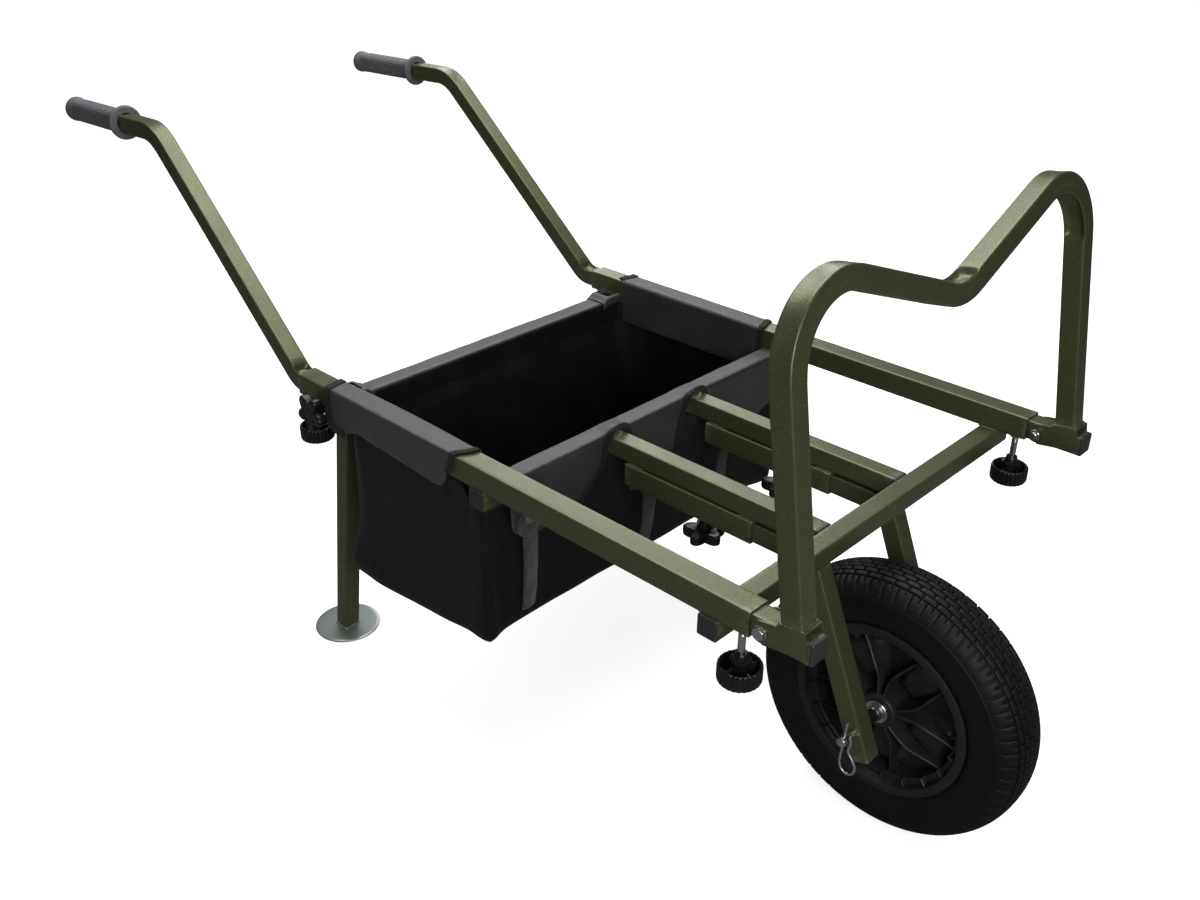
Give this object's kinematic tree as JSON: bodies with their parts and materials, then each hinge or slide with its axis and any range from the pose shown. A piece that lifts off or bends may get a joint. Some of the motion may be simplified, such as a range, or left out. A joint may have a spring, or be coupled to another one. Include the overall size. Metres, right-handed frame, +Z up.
{
  "type": "fishing trolley",
  "caption": "Square tube fishing barrow on a single front wheel and rear legs, with long rear handles, a cloth tub in the frame and a folding shaped bar across the front.",
  "frame": {"origin": "on the ground, at the middle of the whole trolley's bounding box", "axes": "+X forward, from the handles towards the wheel; +Y to the left side; +Z up"},
  "size_m": [1.5704, 0.6362, 0.7778],
  "materials": {
    "frame_paint": "glossy hammered powder coat, olive green with a fine metallic grain",
    "plug_plastic": "fine moulded grain",
    "knob_plastic": "satin moulded plastic",
    "zinc": "bright zinc plate",
    "bearing_steel": "ground steel",
    "grip_rubber": "fine lengthwise ribs",
    "rim_plastic": "moulded black plastic",
    "tyre_rubber": "block tread, matt",
    "tube_rubber": "smooth",
    "tub_cloth": "black coated cloth, satin, soft creases"
  },
  "bodies": {
    "frame": {"rail_left": "frame_paint", "rail_right": "frame_paint", "crossbar_front": "frame_paint", "crossbar_mid": "frame_paint", "crossbar_rear": "frame_paint", "central_tube_left": "frame_paint", "central_tube_right": "frame_paint", "fork_sleeve_left": "frame_paint", "fork_sleeve_right": "frame_paint", "crossbar_caps": "plug_plastic", "central_plugs": "plug_plastic", "clamp_nuts": "zinc", "leg_sleeve_left": "frame_paint", "leg_sleeve_right": "frame_paint", "tub": "tub_cloth"},
    "left_leg": {"leg_left": "frame_paint", "foot_disc_left": "frame_paint"},
    "right_leg": {"leg_right": "frame_paint", "foot_disc_right": "frame_paint"},
    "fork": {"fork_left": "frame_paint", "fork_right": "frame_paint", "axle": "zinc", "axle_washers": "zinc", "axle_spacers": "plug_plastic", "r_clip": "zinc"},
    "wheel": {"wheel_bearings": "bearing_steel", "rim": "rim_plastic", "tyre": "tyre_rubber", "inner_tube": "tube_rubber"},
    "extension": {"stub_left": "frame_paint", "stub_right": "frame_paint", "stub_plugs": "plug_plastic", "pivot_bolts": "zinc", "lock_nuts": "zinc"},
    "bar": {"bar_foot_left": "frame_paint", "bar_foot_right": "frame_paint", "front_bar": "frame_paint"},
    "left_handle": {"handle_left": "frame_paint", "grip_left": "grip_rubber"},
    "right_handle": {"handle_right": "frame_paint", "grip_right": "grip_rubber"},
    "left_leg_clamp": {"leg_knob_left": "knob_plastic", "leg_stud_left": "zinc"},
    "right_leg_clamp": {"leg_knob_right": "knob_plastic", "leg_stud_right": "zinc"},
    "left_fork_clamp": {"fork_knob_left": "knob_plastic", "fork_stud_left": "zinc"},
    "right_fork_clamp": {"fork_knob_right": "knob_plastic", "fork_stud_right": "zinc"},
    "left_handle_clamp": {"handle_knob_left": "knob_plastic", "handle_stud_left": "zinc"},
    "right_handle_clamp": {"handle_knob_right": "knob_plastic", "handle_stud_right": "zinc"},
    "left_bar_clamp": {"bar_knob_left": "knob_plastic", "bar_stud_left": "zinc"},
    "right_bar_clamp": {"bar_knob_right": "knob_plastic", "bar_stud_right": "zinc"}
  },
  "joints": [
    {"name": "fork_slide", "type": "slide", "parent": "frame", "child": "fork", "axis": [1, 0, 0], "range_m": [-0.03, 0.1]},
    {"name": "wheel_spin", "type": "hinge", "parent": "fork", "child": "wheel", "pos_m": [0.60767, 0, 0.1775], "axis": [0, 1, 0], "continuous": true},
    {"name": "bar_extension", "type": "slide", "parent": "frame", "child": "extension", "axis": [1, 0, 0], "range_m": [0, 0.12]},
    {"name": "bar_fold", "type": "hinge", "parent": "extension", "child": "bar", "pos_m": [0.60967, 0, 0.438], "axis": [0, -1, 0], "range_deg": [-8.7, 81.3]},
    {"name": "left_leg_slide", "type": "slide", "parent": "frame", "child": "left_leg", "axis": [-0.1702, 0, -0.9854], "range_m": [-0.12, 0.03]},
    {"name": "left_handle_slide", "type": "slide", "parent": "frame", "child": "left_handle", "axis": [-1, 0, 0], "range_m": [-0.014, 0.1]},
    {"name": "right_leg_slide", "type": "slide", "parent": "frame", "child": "right_leg", "axis": [-0.1702, 0, -0.9854], "range_m": [-0.12, 0.03]},
    {"name": "right_handle_slide", "type": "slide", "parent": "frame", "child": "right_handle", "axis": [-1, 0, 0], "range_m": [0, 0.1]},
    {"name": "left_leg_clamp_turn", "type": "hinge", "parent": "frame", "child": "left_leg_clamp", "pos_m": [-0.12222, 0.2825, 0.416], "axis": [0, 1, 0], "continuous": true},
    {"name": "right_leg_clamp_turn", "type": "hinge", "parent": "frame", "child": "right_leg_clamp", "pos_m": [-0.12222, -0.2825, 0.416], "axis": [0, 1, 0], "continuous": true},
    {"name": "left_fork_clamp_turn", "type": "hinge", "parent": "frame", "child": "left_fork_clamp", "pos_m": [0.36567, 0.0795, 0.34], "axis": [0, 0, 1], "continuous": true},
    {"name": "right_fork_clamp_turn", "type": "hinge", "parent": "frame", "child": "right_fork_clamp", "pos_m": [0.36567, -0.0795, 0.34], "axis": [0, 0, 1], "continuous": true},
    {"name": "left_handle_clamp_turn", "type": "hinge", "parent": "frame", "child": "left_handle_clamp", "pos_m": [-0.16183, 0.2825, 0.38], "axis": [0, 0, 1], "continuous": true},
    {"name": "right_handle_clamp_turn", "type": "hinge", "parent": "frame", "child": "right_handle_clamp", "pos_m": [-0.16183, -0.2825, 0.38], "axis": [0, 0, 1], "continuous": true},
    {"name": "left_bar_clamp_turn", "type": "hinge", "parent": "frame", "child": "left_bar_clamp", "pos_m": [0.57867, 0.2825, 0.38], "axis": [0, 0, 1], "continuous": true},
    {"name": "right_bar_clamp_turn", "type": "hinge", "parent": "frame", "child": "right_bar_clamp", "pos_m": [0.57867, -0.2825, 0.38], "axis": [0, 0, 1], "continuous": true}
  ]
}
